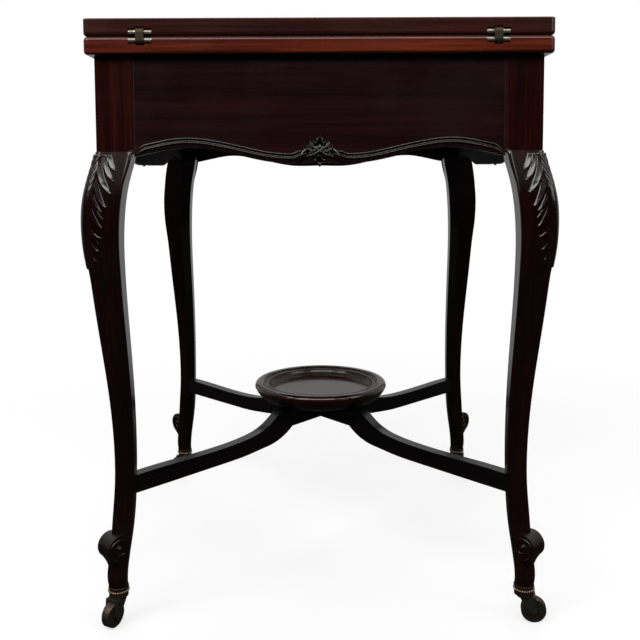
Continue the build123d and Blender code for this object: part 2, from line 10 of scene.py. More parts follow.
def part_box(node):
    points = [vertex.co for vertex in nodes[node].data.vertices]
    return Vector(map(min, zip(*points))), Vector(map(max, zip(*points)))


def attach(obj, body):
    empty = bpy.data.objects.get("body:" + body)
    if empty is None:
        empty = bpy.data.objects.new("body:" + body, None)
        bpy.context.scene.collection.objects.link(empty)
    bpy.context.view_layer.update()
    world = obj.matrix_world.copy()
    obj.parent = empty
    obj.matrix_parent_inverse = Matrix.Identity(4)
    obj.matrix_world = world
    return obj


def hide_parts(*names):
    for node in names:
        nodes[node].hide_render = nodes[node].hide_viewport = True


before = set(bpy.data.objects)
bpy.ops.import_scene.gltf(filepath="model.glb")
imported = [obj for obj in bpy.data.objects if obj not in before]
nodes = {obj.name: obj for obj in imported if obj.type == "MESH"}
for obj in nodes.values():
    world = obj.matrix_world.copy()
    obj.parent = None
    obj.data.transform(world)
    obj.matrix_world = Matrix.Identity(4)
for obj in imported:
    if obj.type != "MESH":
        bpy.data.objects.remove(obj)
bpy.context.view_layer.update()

mm = 0.001
full_turn = 2 * math.pi
white = (1.0, 1.0, 1.0)

corner_names = ("back_right", "back_left", "front_left", "front_right")
side_names = ("back", "left", "front", "right")

# Places taken from the frame
apron_low, apron_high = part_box("apron_back")
apron_face = apron_high[1]
bead_low, bead_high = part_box("bead_back")
board_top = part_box("top_board")[1][2]
hinge_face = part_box("board_hinge_plates")[1][0]
dish_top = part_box("dish")[1][2]
cup_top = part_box("castor_cups")[1][2]

# Camera: its square picture and focal length in pixels, sensor in millimetres, places in metres
image_side = 640
sensor_width = 36.0
focal_pixels = 821.8
camera_distance = 1.2438
camera_height = 0.5621
camera_pitch = math.radians(4.56)
camera_roll = math.radians(-0.22)
camera_shift = -0.13
camera_near = 0.05

# Lamps: name, shape, width and height, place, what it is aimed at, and power
lamps = (
    ("key_lamp", "DISK", (2.0, 2.0), (-1.9, -1.8, 2.5), (0, 0, 0.45), 50),
    ("fill_lamp", "DISK", (2.2, 2.2), (2.3, -1.5, 2.1), (0, 0, 0.45), 28),
    ("back_lamp", "DISK", (2.6, 2.6), (0, 2.0, 3.0), (0, 0, 0.5), 26),
    ("front_lamp", "RECTANGLE", (2.0, 0.6), (0, -1.9, 2.2), (0, 0, 0.55), 26),
)

# How bright the polish sees the studio in front, and what is added to that behind and above
studio_front = 0.008
studio_behind = 0.42
studio_above = 0.45

# Floor: its half width, its tone to the camera and to the polish, how white it is close to
# the table, and the distances between which it turns white all round and bright behind
floor_reach = 40.0
floor_tone = (0.96, 0.96, 0.96)
floor_dark_tone = (0.025, 0.025, 0.025)
floor_near_share = 0.65
floor_far = (0.5, 1.6)
floor_behind = (0.3, 1.5)

# Wood: how far a tenon reaches into its post, how far in from an apron's face the polish
# goes, how far over the beads' lowest place the painted shade on a leg's lower part begins,
# the height below which a foot's polish is worn, how far down from its top the board's edge
# is dull and darkened by painted shade, and a distance that takes in the whole table
tenon_length = 14.0 * mm
polish_lap = 2.5 * mm
knee_over_bead = 20.0 * mm
foot_worn_height = 130.0 * mm
shaded_arris = 2.6 * mm
everywhere = 1.0

# Dish: how far below its top its inner wall, dull and darkened by painted shade, begins and
# ends, how far out the wall goes, the fillets turned on the rim, as distance from the middle
# and thickness, and how many places a fillet has along it and round it
wall_top_drop = 1.0 * mm
wall_foot_drop = 11.6 * mm
wall_radius = 90.5 * mm
dish_fillet_sizes = ((74.4 * mm, 1.0 * mm), (80.4 * mm, 1.3 * mm), (88.6 * mm, 1.3 * mm))
fillet_columns = 144
fillet_sides = 12

# Carving over a knee: heights of its top and lower end, rise of its highest leaf, how far
# its edge and its back lie below the leg's skin, and its grid of places
carving_top = 583.2 * mm
carving_foot = 445.5 * mm
carving_rise = 3.3 * mm
carving_sink = 0.25 * mm
carving_back = 1.6 * mm
carving_rows = 230
carving_columns = 129

# Upright line inside a knee from which its skin is read, how far the rays start from it,
# and the angle that they cover on each side of the arris
knee_line = 255.0 * mm
knee_reach = 80.0 * mm
knee_sweep = 92

# Ribs that run down a knee from the beads: heights of their ends, radius at both ends, how
# deep their middle lies under the leg's inner side and under its face, and the places along
# one
rib_top = 586.2 * mm
rib_foot = 520.0 * mm
rib_radius = 2.9 * mm
rib_tip_radius = 0.15 * mm
rib_under_side = 1.5 * mm
rib_under_face = 0.5 * mm
rib_places = 30

# Rays that look for a surface: how far off they start and how far they reach, where the one
# to a leg's face runs, where the one to its inner side starts, and how deep under the face
# that one runs
ray_reach = 400.0 * mm
face_ray_place = 250.0 * mm
side_ray_start = 100.0 * mm
side_ray_depth = 6.0 * mm

# Beads of the aprons: how far from the flower's middle they start, the length and height of
# their curl there, the angle in radians that they lean by in it, the length that sets how
# they thin at the knee, how far short of the bead's own end they stop, and the places along
# an apron
bead_start = 12.5 * mm
curl_length = 26.0 * mm
curl_lift = 6.5 * mm
curl_lean = 0.55
thin_length = 22.0 * mm
bead_gap = 0.4 * mm
bead_places = 301

# Flower of an apron: its heart over its lowest point, the length of its crossed ribs, their
# height over the apron's face and what it loses by their ends, their radius and what it
# loses, and how far from the face the middle of the side curls is
flower_heart = 15.4 * mm
cross_length = 11.5 * mm
cross_height = 3.6 * mm
cross_fall = 1.6 * mm
cross_radius = 1.35 * mm
cross_taper = 0.7 * mm
side_curl_height = 2.2 * mm

# Scroll of a foot: radius, half its length, and distance of its middle from the table's
# centre line along one side and over the floor
scroll_radius = 16.4 * mm
scroll_half_length = 12.75 * mm
scroll_place = 256.4 * mm
scroll_height = 98.7 * mm

# Volute on each end of a scroll: the angle at which it starts and the angle it winds
# through, how far inside the scroll's edge it starts, how deep it is sunk, and its radius
# and taper. Its eye is a low dome.
volute_start = -75
volute_winding = 560
volute_margin = 1.0 * mm
volute_sunk = 0.1 * mm
volute_radius = 1.35 * mm
volute_taper = 0.45 * mm
volute_places = 110
eye_radius = 2.9 * mm
eye_rise = 1.9 * mm
eye_sunk = 0.3 * mm
eye_rows = 6
eye_sides = 16

# Castor cups: distance of their middle from the table's centre line along one side, how
# many beads stand round one, the ring's radius, a bead's radius and height over the floor,
# and the height of the dark rim at a cup's top
castor_place = 253.44 * mm
cup_bead_count = 26
cup_ring_radius = 12.0 * mm
cup_bead_radius = 1.5 * mm
cup_bead_height = 41.9 * mm
cup_rim_height = 3.2 * mm

# Width of the rounded edge of a cloth
cloth_edge = 0.3 * mm

# Tones of each wood in linear colour: dark, middle and light
wood_tones = {
    "leg": ((0.0075, 0.0011, 0.0010), (0.0180, 0.0022, 0.0017), (0.0420, 0.0075, 0.0042)),
    "carved": ((0.0040, 0.0008, 0.0008), (0.0095, 0.0017, 0.0015), (0.0210, 0.0036, 0.0030)),
    "flower": ((0.0020, 0.0006, 0.0006), (0.0050, 0.0012, 0.0011), (0.0120, 0.0026, 0.0023)),
    "rail": ((0.0012, 0.0008, 0.0008), (0.0024, 0.0013, 0.0012), (0.0050, 0.0022, 0.0020)),
    "apron": ((0.0066, 0.0012, 0.0015), (0.0130, 0.0022, 0.0028), (0.0245, 0.0050, 0.0053)),
    "leaf": ((0.0135, 0.0025, 0.0017), (0.0350, 0.0065, 0.0036), (0.0700, 0.0148, 0.0078)),
    "board": ((0.0380, 0.0042, 0.0016), (0.0860, 0.0098, 0.0031), (0.1850, 0.0285, 0.0085)),
    "dish": ((0.0060, 0.0010, 0.0009), (0.0150, 0.0026, 0.0022), (0.0330, 0.0062, 0.0046)),
    "inner": ((0.030, 0.013, 0.007), (0.055, 0.026, 0.013), (0.085, 0.045, 0.025)),
}
# Tone of the painted shade and dirt where an apron goes into its post
shade_and_dirt_tone = (0.0008, 0.0006, 0.0006)

# The axis that each grain follows. The diagonal grains are turned onto x first.
grain_axes = {"x": 0, "y": 1, "z": 2, "a": 0, "b": 0}
diagonal_turns = {"a": -math.pi / 4, "b": math.pi / 4}

# Leaves of the knee carving on one half of the knee, in millimetres from the arris and
# below the carving's top: start, where it bends, tip, half width, rise as a share.
knee_leaves = (
    ((18.0, -3.0), (19.0, 11.0), (29.5, 19.5), 3.3, 0.84),
    ((12.5, -3.0), (14.5, 18.0), (31.0, 32.0), 3.4, 0.93),
    ((6.5, -3.0), (9.0, 27.0), (30.0, 46.0), 4.2, 1.00),
    ((8.0, 12.0), (9.0, 43.0), (26.5, 62.0), 3.5, 0.86),
    ((6.5, 26.0), (6.0, 52.0), (22.0, 67.5), 2.7, 0.72),
    ((11.5, 50.0), (12.5, 67.0), (24.0, 76.0), 2.0, 0.50),
    ((6.0, 42.0), (5.5, 70.0), (22.0, 86.0), 3.0, 0.62),
    ((6.0, 78.0), (6.0, 95.0), (20.5, 98.5), 2.4, 0.54),
    ((13.0, 88.0), (11.0, 97.0), (18.0, 106.0), 1.8, 0.40),
    ((5.0, 92.0), (5.5, 109.0), (16.0, 114.0), 2.2, 0.52),
    ((4.0, 103.0), (4.0, 121.0), (11.5, 126.5), 2.0, 0.50),
    ((8.5, 117.0), (7.0, 127.0), (9.5, 134.0), 1.7, 0.42),
    ((2.0, 106.0), (0.5, 124.0), (4.5, 134.5), 3.2, 0.92),
)

# Half widths of the whole carving and of the raised ground along the arris, in millimetres,
# at shares of the carving's height from its top
carving_width_stops = (
    (0.0, 27.0), (0.08, 31.0), (0.22, 34.0), (0.35, 32.0), (0.45, 28.5), (0.60, 25.5),
    (0.72, 23.5), (0.82, 19.5), (0.92, 14.0), (1.0, 8.0),
)
ground_width_stops = ((0.0, 9.0), (0.3, 11.0), (0.7, 9.0), (0.9, 6.5), (1.0, 4.0))

# Section of a bead in millimetres, outward and upward: its lower moulding, then the reeds
# with their radius, the hollow over the lower reed, and its top
bead_moulding = ((-0.6, 0.0), (1.1, 0.0), (1.75, 0.5), (1.95, 1.5), (1.85, 3.0), (1.6, 4.3))
bead_reeds = ((2.0, 5.7, 1.25), (0.9, 10.5, 1.45))
bead_hollow = ((1.2, 7.6), (0.85, 8.6))
bead_top = (-0.6, 12.0)

# Leaves of the flower, lowest first: angle, where it starts, length, half width, rise,
# how far its tip bends sideways, and where it is widest. Lengths are millimetres.
flower_leaves = (
    (270, 2.0, 14.0, 3.0, 4.2, 0.0, 0.45),
    (-58, 3.0, 9.5, 3.0, 3.6, -1.0, 0.55),
    (238, 3.0, 9.5, 3.0, 3.6, 1.0, 0.55),
    (-22, 3.0, 11.0, 3.2, 3.8, 1.5, 0.6),
    (202, 3.0, 11.0, 3.2, 3.8, -1.5, 0.6),
    (12, 3.0, 13.5, 3.6, 4.4, 2.0, 0.65),
    (168, 3.0, 13.5, 3.6, 4.4, -2.0, 0.65),
    (52, 3.0, 12.5, 4.0, 4.8, -1.5, 0.62),
    (128, 3.0, 12.5, 4.0, 4.8, 1.5, 0.62),
    (90, 3.0, 13.5, 4.4, 5.6, 0.0, 0.66),
)

# Grid of one leaf of the flower, and its back, in millimetres from the apron's face
flower_leaf_rows = 26
flower_leaf_columns = 19
flower_leaf_back = -0.8

# Angles at which the crossed ribs leave the flower's heart
cross_angles = (34, 146, 214, 326)

# Path of the smooth curl beside the flower, in millimetres from the heart: sideways, upward
# and radius
side_curl = (
    (26.0, -8.6, 0.9), (23.5, -6.8, 1.9), (20.8, -4.0, 2.5), (18.4, -0.6, 2.3), (16.2, 2.2, 1.2),
)


def set_camera():
    """The photograph's view."""
    lens = bpy.data.cameras.new("view")
    lens.sensor_width = sensor_width
    lens.lens = focal_pixels * sensor_width / image_side
    lens.shift_y = camera_shift
    lens.clip_start = camera_near
    camera = bpy.data.objects.new("view", lens)
    aim = Matrix.Rotation(math.pi / 2 - camera_pitch, 4, "X") @ Matrix.Rotation(camera_roll, 4, "Z")
    camera.location = (0, -camera_distance, camera_height)
    camera.rotation_euler = aim.to_euler()
    bpy.context.scene.collection.objects.link(camera)
    bpy.context.scene.camera = camera
    bpy.context.scene.view_settings.view_transform = "Standard"


def hang_lamps():
    """The four soft lamps."""
    for name, shape, (width, height), place, target, power in lamps:
        data = bpy.data.lights.new(name, "AREA")
        data.shape = shape
        data.size = width
        data.size_y = height
        data.energy = power
        item = bpy.data.objects.new(name, data)
        item.location = place
        aim = Vector(target) - Vector(place)
        item.rotation_euler = aim.to_track_quat("-Z", "Y").to_euler()
        bpy.context.scene.collection.objects.link(item)


class Value:
    """A socket of a material, so that shader maths can be written as an expression."""

    def __init__(self, finish, socket):
        self.finish = finish
        self.socket = socket

    def __add__(self, other):
        return self.finish.maths("ADD", self, other)

    def __radd__(self, other):
        return self.finish.maths("ADD", other, self)

    def __sub__(self, other):
        return self.finish.maths("SUBTRACT", self, other)

    def __rsub__(self, other):
        return self.finish.maths("SUBTRACT", other, self)

    def __mul__(self, other):
        return self.finish.maths("MULTIPLY", self, other)

    def __rmul__(self, other):
        return self.finish.maths("MULTIPLY", other, self)

    def smooth(self, low, high):
        """From 0 at low to 1 at high, eased at both ends."""
        return self.finish.node(
            "ShaderNodeMapRange", {"interpolation_type": "SMOOTHSTEP"},
            {"Value": self, "From Min": low, "From Max": high},
        )


class Finish:
    """One material or the world, built node by node."""

    def __init__(self, name, owner=None):
        self.owner = owner or bpy.data.materials.new(name)
        self.owner.use_nodes = True
        self.tree = self.owner.node_tree
        self.tree.nodes.clear()

    def node(self, kind, settings=None, sockets=None, output=0):
        """Add a node, make its settings, then fill or link its sockets."""
        item = self.tree.nodes.new(kind)
        for key, setting in (settings or {}).items():
            if key == "stops":
                ramp = item.color_ramp
                while len(ramp.elements) < len(setting):
                    ramp.elements.new(0.5)
                for element, (place, colour) in zip(ramp.elements, setting):
                    element.position = place
                    element.color = (*colour, 1.0)
            else:
                setattr(item, key, setting)
        for key, content in (sockets or {}).items():
            if isinstance(content, Value):
                self.tree.links.new(content.socket, item.inputs[key])
            elif hasattr(content, "__len__") and len(content) == 3 and item.inputs[key].type == "RGBA":
                item.inputs[key].default_value = (*content, 1.0)
            else:
                item.inputs[key].default_value = content
        return Value(self, item.outputs[output]) if len(item.outputs) else None

    def maths(self, operation, first, second=0.0):
        """One step of arithmetic."""
        return self.node("ShaderNodeMath", {"operation": operation}, {0: first, 1: second})

    def part_of(self, vector, axis):
        """One coordinate of a vector."""
        return self.node("ShaderNodeSeparateXYZ", {}, {"Vector": vector}, axis)

    def coordinate(self, axis):
        """One of a place's object coordinates. The one called Z is its height over the floor."""
        return self.part_of(self.node("ShaderNodeTexCoord", output="Object"), axis)

    def outward(self, choice="MAXIMUM"):
        """The larger, or the smaller, of |x| and |y|: how far out a place is, square fashion."""
        across = self.maths("ABSOLUTE", self.coordinate("X"))
        deep = self.maths("ABSOLUTE", self.coordinate("Y"))
        return self.maths(choice, across, deep)

    def distance(self):
        """Distance of a place from the table's centre line."""
        across = self.coordinate("X")
        deep = self.coordinate("Y")
        return self.maths("SQRT", across * across + deep * deep)

    def place(self, across, along, grain="z", shift=0.0):
        """Object coordinates, closer together across the grain than along it."""
        where = self.node("ShaderNodeTexCoord", output="Object")
        if grain in diagonal_turns:
            where = self.node(
                "ShaderNodeMapping", {}, {"Vector": where, "Rotation": (0, 0, diagonal_turns[grain])}
            )
        scale = [across, across, across]
        scale[grain_axes[grain]] = along
        return self.node(
            "ShaderNodeMapping", {},
            {"Vector": where, "Scale": scale, "Location": (shift, shift * 1.7, shift * 0.6)},
        )

    def noise(self, where, detail, roughness, distortion=0.0):
        """Cloudy noise from about 0 to 1."""
        return self.node("ShaderNodeTexNoise", {}, {
            "Vector": where, "Scale": 1.0, "Detail": detail,
            "Roughness": roughness, "Distortion": distortion,
        })

    def ramp(self, amount, stops):
        """A colour from a row of stops."""
        return self.node("ShaderNodeValToRGB", {"stops": stops}, {"Fac": amount})

    def mix(self, amount, first, second, blend="MIX"):
        """The first colour with some of the second mixed in."""
        return self.node(
            "ShaderNodeMix", {"data_type": "RGBA", "blend_type": blend},
            {0: amount, 6: first, 7: second}, 2,
        )

    def bump(self, height, strength, distance):
        """A normal that shows small relief."""
        return self.node(
            "ShaderNodeBump", {}, {"Height": height, "Strength": strength, "Distance": distance}
        )

    def surface(self, sockets):
        """Close the material with one principled shader."""
        shader = self.node("ShaderNodeBsdfPrincipled", {}, sockets)
        self.node("ShaderNodeOutputMaterial", {}, {"Surface": shader})
        return self.owner


def white_world():
    """White to the camera. Reflections see a bright studio behind and above, and a dark one in front."""
    world = bpy.data.worlds.new("studio")
    bpy.context.scene.world = world
    studio = Finish("studio", world)
    direction = studio.node("ShaderNodeTexCoord", output="Generated")
    behind = studio.part_of(direction, "Y").smooth(-0.35, 0.5)
    above = studio.part_of(direction, "Z").smooth(0.25, 0.9)
    level = studio_front + behind * studio_behind + above * studio_above
    seen = studio.node("ShaderNodeLightPath", output="Is Camera Ray")
    strength = seen + (1 - seen) * level
    light = studio.node("ShaderNodeBackground", {}, {"Color": white, "Strength": strength})
    studio.node("ShaderNodeOutputWorld", {}, {"Surface": light})


def pale_floor():
    """A wide floor that is white to the camera and keeps the table's shadow.

    The table's polish sees it dark in front and bright behind, as the studio is.
    """
    mesh = bpy.data.meshes.new("floor")
    reach = floor_reach
    corners = [(-reach, -reach, 0), (reach, -reach, 0), (reach, reach, 0), (-reach, reach, 0)]
    mesh.from_pydata(corners, [], [(0, 1, 2, 3)])
    floor = bpy.data.objects.new("floor", mesh)
    bpy.context.scene.collection.objects.link(floor)
    finish = Finish("floor_white")
    seen = finish.node("ShaderNodeLightPath", output="Is Camera Ray")
    where = finish.node("ShaderNodeNewGeometry", output="Position")
    distance = finish.node("ShaderNodeVectorMath", {"operation": "LENGTH"}, {0: where}, "Value")
    far = distance.smooth(*floor_far)
    behind = finish.part_of(where, "Y").smooth(*floor_behind)
    lit = finish.node("ShaderNodeBsdfDiffuse", {}, {"Color": finish.mix(seen, floor_dark_tone, floor_tone)})
    glow = studio_behind + seen * (1 - studio_behind)
    bright = finish.node("ShaderNodeEmission", {}, {"Color": white, "Strength": glow})
    share = seen * (far * (1 - floor_near_share) + floor_near_share) + (1 - seen) * behind
    both = finish.node("ShaderNodeMixShader", {}, {0: share, 1: lit, 2: bright})
    finish.node("ShaderNodeOutputMaterial", {}, {"Surface": both})
    mesh.materials.append(finish.owner)


def wood(
    name, tones, grain, gloss, coat=0.35, figure=1.0, seed=0.0, inside=None, shaded_below=None, seam=None, dull_shaded_band=None
):
    """Polished mahogany: long streaks, fine pores along the grain and a glossy coat.

    inside: what lies nearer the centre than this is bare and dull.
    shaded_below: a height and the share of the colour that is left below it: painted shade
    darkens the colour there. The polish is weaker there too, and worn on the foot.
    seam: painted shade and dirt darken the last of a rail that ends at this distance from the middle.
    dull_shaded_band: the heights between which the polish is dull and painted shade darkens
    the colour, how far out it goes, and how much of it there is.
    """
    finish = Finish(name)
    dark, middle, light = tones
    broad = finish.noise(finish.place(36, 1.6, grain, seed), 5.0, 0.62, 0.5 * figure)
    fine = finish.noise(finish.place(230, 5.0, grain, seed), 6.0, 0.6, 0.15)
    pores = finish.noise(finish.place(1500, 34.0, grain, seed), 2.0, 0.5)
    cloud = finish.noise(finish.place(4.5, 3.0, grain, seed), 3.0, 0.5)
    tone = broad * 0.38 + fine * 0.46 + cloud * 0.16
    base = finish.ramp(tone, [(0.40, dark), (0.51, middle), (0.64, light)])
    pore_mask = pores.smooth(0.58, 0.70)
    colour = finish.mix(pore_mask * 0.55, base, tuple(part * 0.4 for part in dark))
    handled = finish.noise(finish.place(10, 10, grain, seed), 4.0, 0.6)
    rough = gloss + handled.smooth(0.35, 0.75) * 0.08 + pore_mask * 0.06
    shine = coat
    if shaded_below:
        height, share = shaded_below
        # Painted shade: below the given height the colour is darkened, and the polish is weaker
        low = 1 - finish.coordinate("Z").smooth(height - 30 * mm, height + 10 * mm)
        colour = finish.mix(low, colour, (share, share * 0.85, share * 0.85), "MULTIPLY")
        foot = 1 - finish.coordinate("Z").smooth(foot_worn_height - 10 * mm, foot_worn_height + 20 * mm)
        rough = rough + foot * 0.16
        shine = shine * (1 - low * 0.35) * (1 - foot * 0.8)
    if seam:
        # Painted shade and dirt darken the colour at the seam, and the polish is rougher there
        seam_shade_and_dirt = finish.outward("MINIMUM").smooth(seam - 1.8 * mm, seam - 0.6 * mm)
        colour = finish.mix(seam_shade_and_dirt * 0.85, colour, shade_and_dirt_tone)
        rough = rough + seam_shade_and_dirt * 0.35
    if dull_shaded_band:
        under, over, reach, share = dull_shaded_band
        # Painted shade: in this band the colour is darkened, and the polish is dulled
        dull_shade = finish.coordinate("Z").smooth(under, under + 0.8 * mm)
        dull_shade = dull_shade * (1 - finish.coordinate("Z").smooth(over - 0.3 * mm, over - 0.1 * mm))
        dull_shade = dull_shade * (1 - finish.distance().smooth(reach - 1.0 * mm, reach)) * share
        colour = finish.mix(dull_shade * 0.6, colour, dark)
        rough = rough + dull_shade * 0.5
        shine = shine * (1 - dull_shade)
    if inside:
        bare = 1 - finish.outward().smooth(inside + 0.5 * mm, inside + 1.5 * mm)
        rough = rough + bare * 0.6
        shine = shine * (1 - bare)
    relief = finish.bump(fine * 0.5 - pore_mask * 0.6, 0.08, 0.3 * mm)
    return finish.surface({
        "Base Color": colour, "Roughness": rough, "Normal": relief,
        "Coat Weight": shine, "Coat Roughness": 0.07, "Specular IOR Level": 0.38,
    })


def metal(
    name, colour, tarnish, rough, wear_scale=300.0, dirt=0.6, worn=None, dull_from=None, pits=0.3 * mm
):
    """Old brass or bronze: bright metal with a darkened, uneven skin.

    worn: only what stands further out than this keeps its brightness, wear with a painted highlight; deeper,
    tarnish and painted shade darken it.
    dull_from: everything above this height is dark.
    pits: the depth of the unevenness.
    """
    finish = Finish(name)
    patches = finish.noise(finish.place(wear_scale, wear_scale), 5.0, 0.6)
    specks = finish.noise(finish.place(wear_scale * 6, wear_scale * 6), 3.0, 0.5)
    skin = patches.smooth(0.35, 0.68) * dirt
    if worn:
        # The outer face stays bright by wear and as a painted highlight; deeper parts are darkened by tarnish
        # and painted shade
        worn_and_highlit = finish.outward().smooth(worn - 0.6 * mm, worn)
        skin = 1 - worn_and_highlit * (1 - skin)
    if dull_from:
        above = finish.coordinate("Z").smooth(dull_from - 0.5 * mm, dull_from)
        skin = finish.maths("MAXIMUM", skin, above)
    return finish.surface({
        "Base Color": finish.mix(skin, colour, tarnish), "Metallic": 1.0 - skin * 0.45,
        "Roughness": rough + skin * 0.25 + specks * 0.08,
        "Normal": finish.bump(patches * 0.7 + specks * 0.3, 0.25, pits),
    })


def baize(name):
    """Green wool cloth with a fine nap."""
    finish = Finish(name)
    weave = finish.noise(finish.place(2400, 2400), 2.0, 0.6)
    nap = finish.noise(finish.place(260, 260), 4.0, 0.65)
    worn = finish.noise(finish.place(7, 7), 3.0, 0.5)
    tone = weave * 0.4 + nap * 0.35 + worn * 0.25
    colour = finish.ramp(tone, [(0.3, (0.012, 0.070, 0.030)), (0.7, (0.035, 0.150, 0.070))])
    return finish.surface({
        "Base Color": colour, "Roughness": 0.92, "Sheen Weight": 0.35, "Sheen Roughness": 0.5,
        "Specular IOR Level": 0.2, "Normal": finish.bump(weave + nap, 0.35, 0.4 * mm),
    })


def wood_finishes():
    """The woods by name. A letter after the name says which way the grain runs."""
    tones = wood_tones
    made = {
        # The leg's lower part is darkened by painted shade
        "leg": wood(
            "leg_wood", tones["leg"], "z", 0.18, seed=2.3, shaded_below=(bead_low[2] + knee_over_bead, 0.30)
        ),
        "carved": wood("carved_wood", tones["carved"], "z", 0.18, coat=0.48, seed=4.1),
        "flower": wood("flower_wood", tones["flower"], "z", 0.13, coat=1.0, seed=4.1),
        # The dish's inner wall is dulled and darkened by painted shade
        "dish": wood(
            "dish_wood", tones["dish"], "x", 0.13, coat=0.3, seed=6.5,
            dull_shaded_band=(dish_top - wall_foot_drop, dish_top - wall_top_drop, wall_radius, 0.30),
        ),
        # The upper band of the board's edge is dulled and darkened by painted shade
        "board": wood(
            "board_wood_x", tones["board"], "x", 0.24, coat=0.2, seed=1.9,
            dull_shaded_band=(board_top - shaded_arris, board_top, everywhere, 1.0),
        ),
    }
    for grain in "ab":
        made[f"rail_{grain}"] = wood(f"stretcher_wood_{grain}", tones["rail"], grain, 0.24, coat=0.12)
    for grain in "xy":
        # An apron's ends take painted shade and dirt where they go into their posts
        made[f"apron_{grain}"] = wood(
            f"apron_wood_{grain}", tones["apron"], grain, 0.24, coat=0.28, seed=3.1,
            inside=apron_face - polish_lap, seam=apron_high[0] - tenon_length,
        )
        made[f"leaf_{grain}"] = wood(
            f"leaf_wood_{grain}", tones["leaf"], grain, 0.24, figure=1.6, seed=5.7
        )
    for grain in "xyz":
        made[f"inner_{grain}"] = wood(f"inner_wood_{grain}", tones["inner"], grain, 0.75, coat=0.0)
    return made


def metal_finishes():
    """The metals by name."""
    return {
        # Hinge brass: its outer face bright by wear and a painted highlight, deeper parts dark by tarnish and
        # painted shade
        "hinge": metal(
            "hinge_brass", (0.43, 0.39, 0.32), (0.020, 0.015, 0.010), 0.3, 420.0, worn=hinge_face - 0.1 * mm
        ),
        "link": metal("link_bronze", (0.075, 0.055, 0.035), (0.025, 0.018, 0.012), 0.4),
        "cup": metal(
            "cup_brass", (0.13, 0.070, 0.038), (0.020, 0.010, 0.008), 0.34,
            dull_from=cup_top - cup_rim_height,
        ),
        "bead": metal("bead_brass", (0.42, 0.31, 0.19), (0.030, 0.020, 0.013), 0.3, dirt=0.75),
        "castor": metal(
            "castor_bronze", (0.110, 0.104, 0.088), (0.005, 0.004, 0.004), 0.36, 330.0, 1.0, pits=3.5 * mm
        ),
        "wheel": metal(
            "wheel_bronze", (0.120, 0.088, 0.062), (0.005, 0.004, 0.004), 0.34, 330.0, 1.0, pits=3.5 * mm
        ),
        "steel": metal("plain_steel", (0.35, 0.35, 0.36), (0.12, 0.10, 0.09), 0.35),
    }


def dress(finish, *names):
    """Give nodes of the frame their finish."""
    for name in names:
        slots = nodes[name].data.materials
        slots.clear()
        slots.append(finish)


def dress_frame(finishes):
    """The finishes of the nodes that keep their own shape."""
    for corner in corner_names:
        dress(finishes["leg"], f"leg_{corner}")
        dress(finishes["castor"], f"castor_fork_{corner}")
        dress(finishes["wheel"], f"castor_wheel_{corner}")
    for side, grain in zip(side_names, "xyxy"):
        dress(finishes[f"apron_{grain}"], f"apron_{side}")
        dress(finishes[f"leaf_{grain}"], f"leaf_{side}")
        dress(finishes["hinge"], f"leaf_hinge_plates_{side}")
        dress(finishes["link"], f"hinge_links_{side}")
    dress(finishes["board"], "top_board")
    dress(finishes["rail_a"], "stretcher_rail_a")
    dress(finishes["rail_b"], "stretcher_rail_b")
    dress(finishes["dish"], "dish")
    dress(finishes["inner_x"], "bearer_cleats")
    dress(finishes["inner_y"], "pivot_bearer")
    dress(finishes["inner_z"], "corner_blocks", "stop_peg")
    dress(finishes["cup"], "castor_cups")
    dress(finishes["hinge"], "board_hinge_plates", "pivot_bush")
    dress(
        finishes["steel"],
        "pivot_plate", "pivot_screws", "pivot_bolt", "pivot_washer", "pivot_nut",
        "cleat_screws", "dish_screws",
    )


def place_piece(name, mesh, body, node=None):
    """Show a mesh as a piece that rides on a body and may stand for a node."""
    piece = bpy.data.objects.new(name, mesh)
    bpy.context.scene.collection.objects.link(piece)
    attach(piece, body)
    if node:
        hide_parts(node)
    return piece


def new_piece(name, points, faces, material, node=None):
    """A smooth mesh in the table's own frame that belongs to its frame body."""
    mesh = bpy.data.meshes.new(name)
    mesh.from_pydata([tuple(point) for point in points], [], faces)
    work = bmesh.new()
    work.from_mesh(mesh)
    bmesh.ops.remove_doubles(work, verts=work.verts, dist=1e-6)
    bmesh.ops.recalc_face_normals(work, faces=work.faces)
    work.to_mesh(mesh)
    work.free()
    mesh.shade_smooth()
    mesh.materials.append(material)
    place_piece(name, mesh, "frame", node)


def quarter(points, turns):
    """Turn an array of points about the table's centre line by quarter turns."""
    angle = turns * math.pi / 2
    turn = np.array([
        [round(math.cos(angle)), -round(math.sin(angle)), 0],
        [round(math.sin(angle)), round(math.cos(angle)), 0],
        [0, 0, 1],
    ])
    return np.asarray(points) @ turn.T


def on_each_corner(name, points, faces, material):
    """The same piece at all four corners. The one given is at the back right."""
    for turns, corner in enumerate(corner_names):
        new_piece(f"{name}_{corner}", quarter(points, turns), faces, material)


def on_each_side(name, points, faces, material, node):
    """The same piece on all four sides in place of a node. The one given is at the back."""
    for turns, side in enumerate(side_names):
        new_piece(f"{name}_{side}", quarter(points, turns), faces, material, f"{node}_{side}")


def node_tree(name):
    """A search tree of one node's faces."""
    mesh = nodes[name].data
    mesh.calc_loop_triangles()
    points = [vertex.co for vertex in mesh.vertices]
    return BVHTree.FromPolygons(points, [triangle.vertices for triangle in mesh.loop_triangles])


def grid_faces(rows, columns, wrap=False):
    """Quads over a grid of points, row by row."""
    faces = []
    last = columns if wrap else columns - 1
    for row in range(rows - 1):
        for column in range(last):
            after = (column + 1) % columns
            here = row * columns
            faces.append((here + column, here + after, here + columns + after, here + columns + column))
    return faces


def bar_faces(rings, sides):
    """Faces of a bar made of rings of points, closed at both ends."""
    last = (rings - 1) * sides
    faces = grid_faces(rings, sides, True)
    faces.append(tuple(range(sides)))
    faces.append(tuple(range(last, last + sides))[::-1])
    return faces


